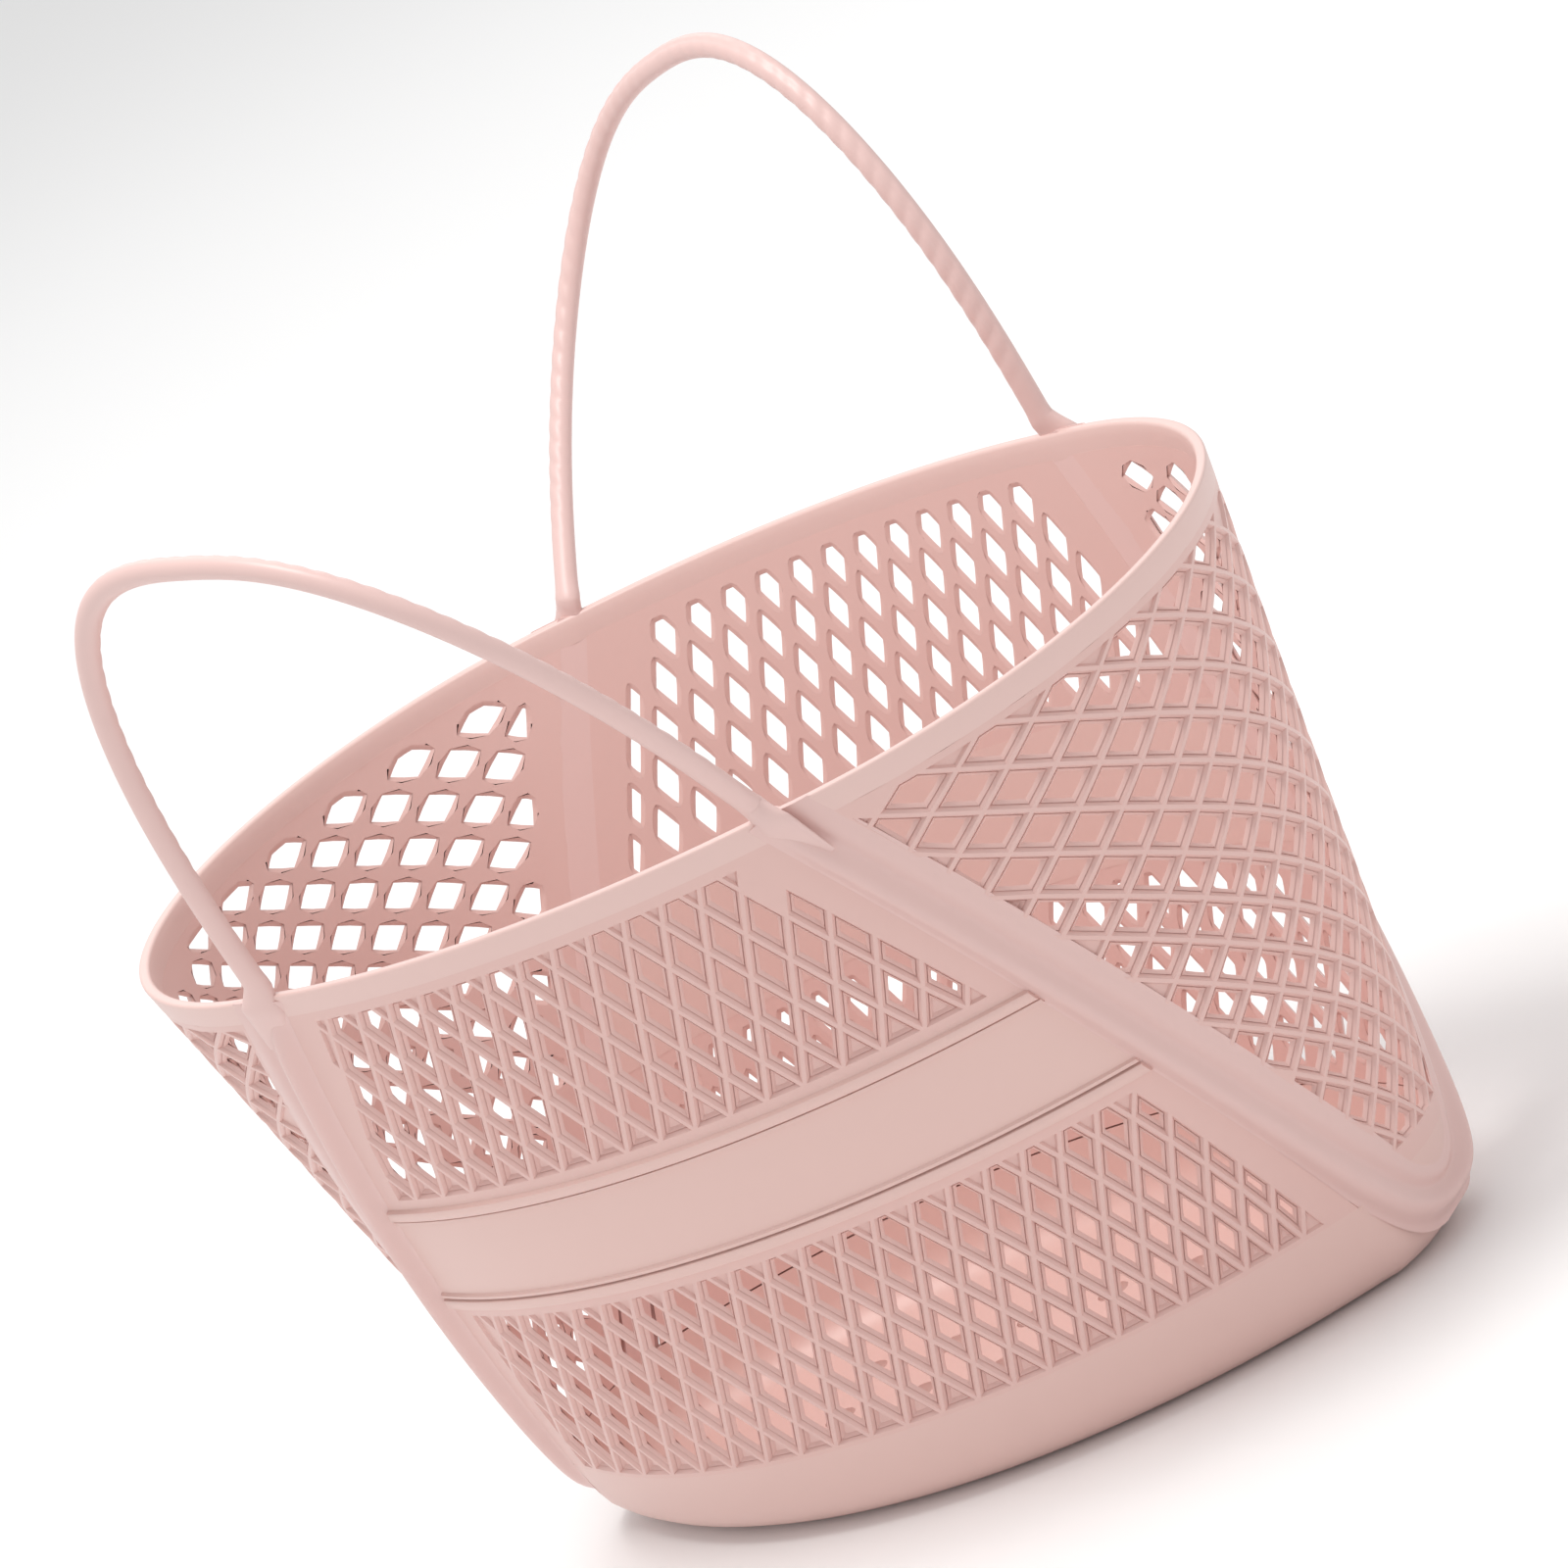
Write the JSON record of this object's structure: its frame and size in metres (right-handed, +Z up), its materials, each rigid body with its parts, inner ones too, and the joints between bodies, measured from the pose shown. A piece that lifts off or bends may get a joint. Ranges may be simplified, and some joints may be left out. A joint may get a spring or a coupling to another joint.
{
  "type": "shower caddy",
  "caption": "Soft plastic shower tote: oval tapered basket with diamond lattice walls, raised straps and looped carrying handles that flex at their roots.",
  "frame": {"origin": "centre of the base, on the surface the caddy stands on", "axes": "+Z up, X along the oval mouth, -Y towards the front wall"},
  "size_m": [0.32, 0.3322, 0.3296],
  "materials": {
    "base_plastic": "satin",
    "rim_plastic": "satin",
    "lattice_plastic": "satin",
    "band_plastic": "satin",
    "strap_plastic": "satin",
    "handle_plastic": "satin"
  },
  "bodies": {
    "basket": {"base_tray": "base_plastic", "rim_band": "rim_plastic", "front_upper_lattice": "lattice_plastic", "front_lower_lattice": "lattice_plastic", "back_upper_lattice": "lattice_plastic", "back_lower_lattice": "lattice_plastic", "left_end_lattice": "lattice_plastic", "right_end_lattice": "lattice_plastic", "front_band": "band_plastic", "back_band": "band_plastic", "left_strap": "strap_plastic", "right_strap": "strap_plastic"},
    "front_handle": {"front_handle": "handle_plastic"},
    "back_handle": {"back_handle": "handle_plastic"}
  },
  "joints": [
    {"name": "front_handle_fold", "type": "hinge", "parent": "basket", "child": "front_handle", "pos_m": [0, -0.10373, 0.2067], "axis": [1, 0, 0], "range_deg": [-60, 55], "stiffness_Nm_per_rad": 0.3},
    {"name": "back_handle_fold", "type": "hinge", "parent": "basket", "child": "back_handle", "pos_m": [0, 0.10373, 0.2067], "axis": [-1, 0, 0], "range_deg": [-65, 45], "stiffness_Nm_per_rad": 0.3}
  ]
}
